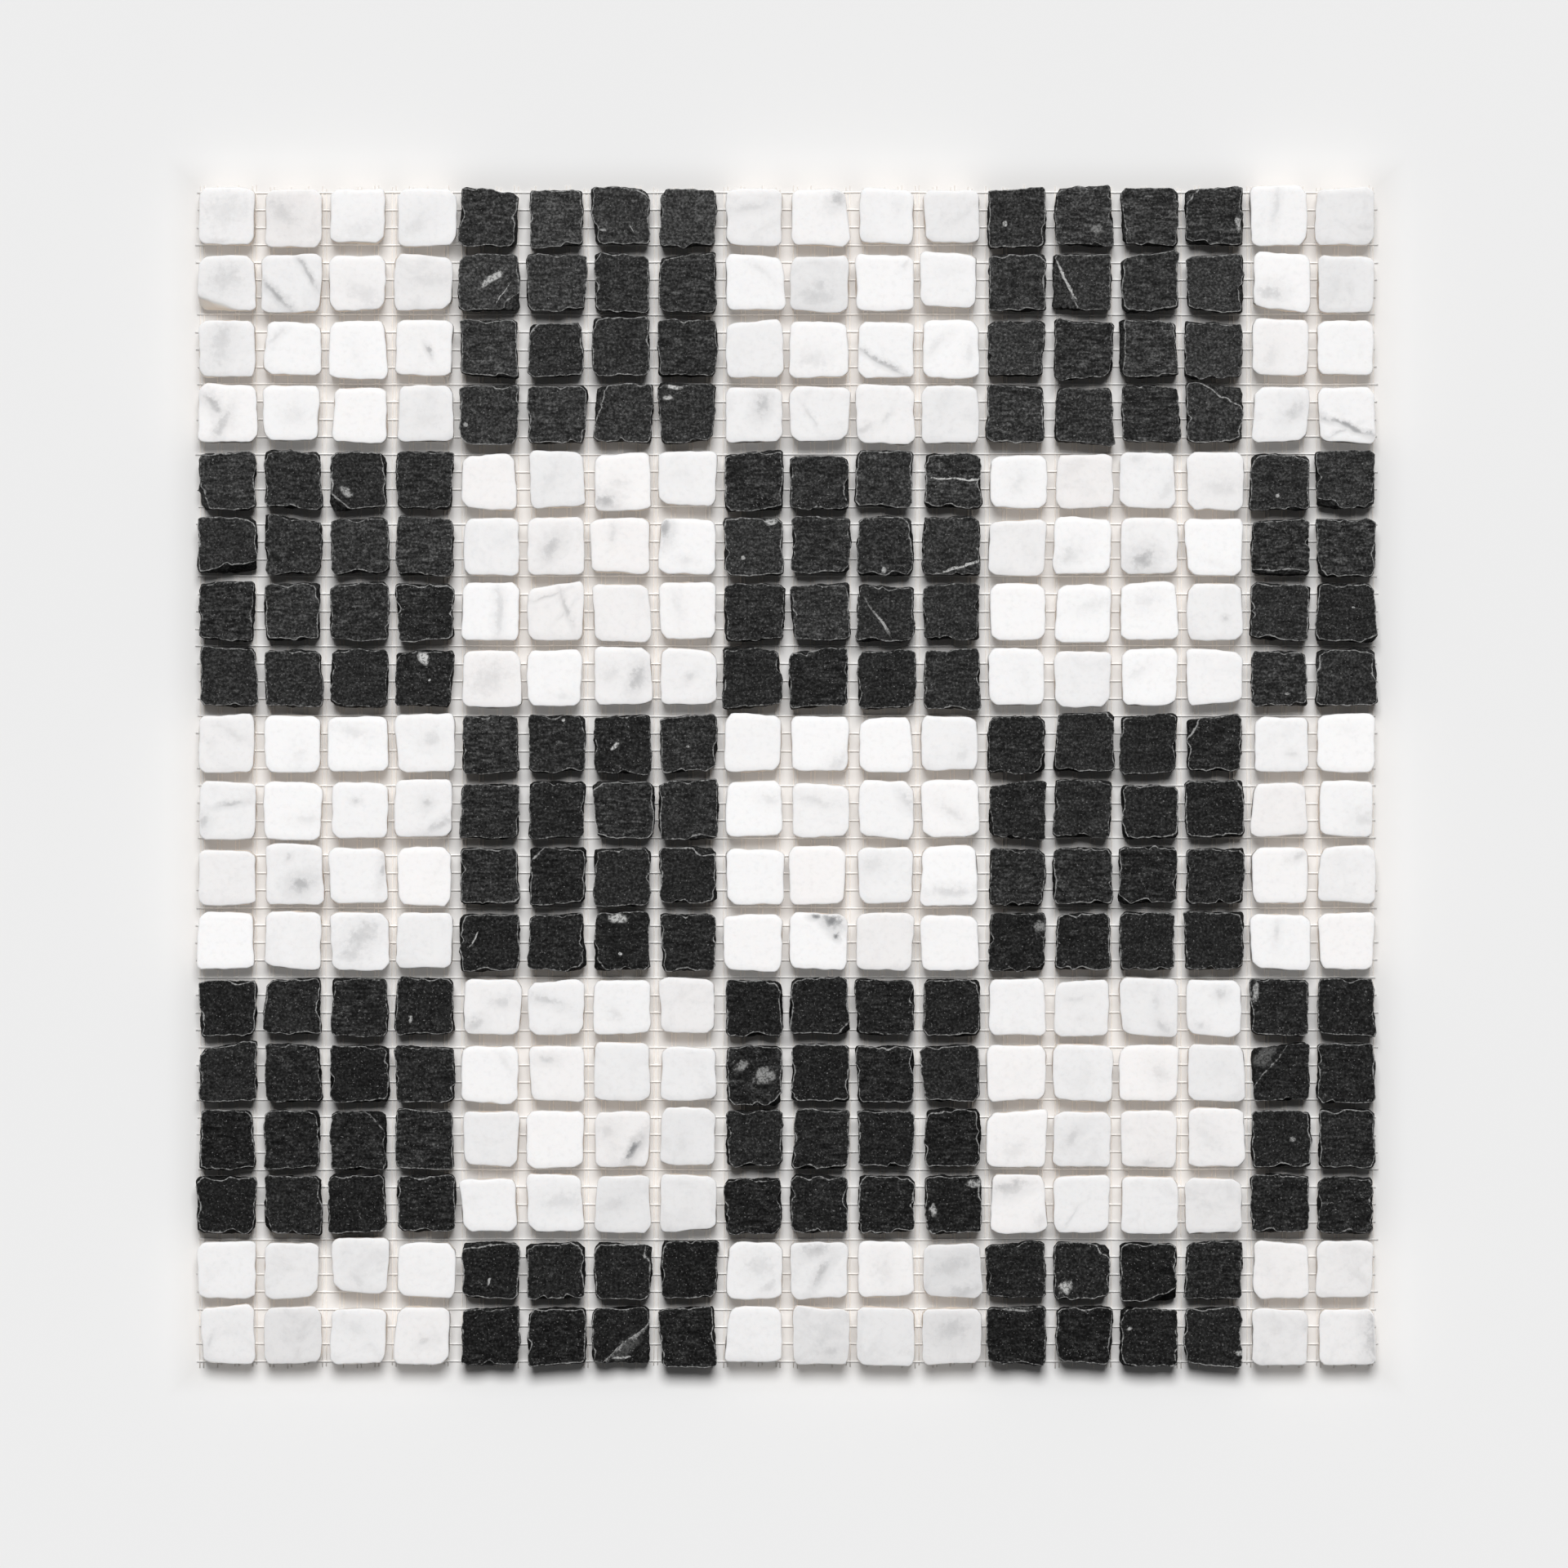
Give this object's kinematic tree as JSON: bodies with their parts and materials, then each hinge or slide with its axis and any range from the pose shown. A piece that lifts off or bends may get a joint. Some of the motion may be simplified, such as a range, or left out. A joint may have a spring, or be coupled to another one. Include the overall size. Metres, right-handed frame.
{
  "type": "marble mosaic tile",
  "caption": "Flat square sheet of tumbled white and black marble stones in a checkerboard of blocks, glued to a glass-fibre net, to be laid and grouted on a wall or floor.",
  "frame": {"origin": "on the underside of the net, below the middle of the sheet", "axes": "+X along the rows, +Y up the columns towards the top of the picture, +Z out of the stones' faces"},
  "size_m": [0.3046, 0.3046, 0.0088],
  "materials": {
    "white_marble": "matte",
    "black_marble": "matte",
    "glass_fibre_net": "satin"
  },
  "bodies": {
    "root": {"black_stones_row1_col2": "black_marble", "black_stones_row1_col4": "black_marble", "black_stones_row2_col1": "black_marble", "black_stones_row2_col3": "black_marble", "black_stones_row2_col5": "black_marble", "black_stones_row3_col2": "black_marble", "black_stones_row3_col4": "black_marble", "black_stones_row4_col1": "black_marble", "black_stones_row4_col3": "black_marble", "black_stones_row4_col5": "black_marble", "black_stones_row5_col2": "black_marble", "black_stones_row5_col4": "black_marble", "net_warp_threads": "glass_fibre_net", "net_weft_threads": "glass_fibre_net", "white_stones_row1_col1": "white_marble", "white_stones_row1_col3": "white_marble", "white_stones_row1_col5": "white_marble", "white_stones_row2_col2": "white_marble", "white_stones_row2_col4": "white_marble", "white_stones_row3_col1": "white_marble", "white_stones_row3_col3": "white_marble", "white_stones_row3_col5": "white_marble", "white_stones_row4_col2": "white_marble", "white_stones_row4_col4": "white_marble", "white_stones_row5_col1": "white_marble", "white_stones_row5_col3": "white_marble", "white_stones_row5_col5": "white_marble"}
  },
  "joints": []
}
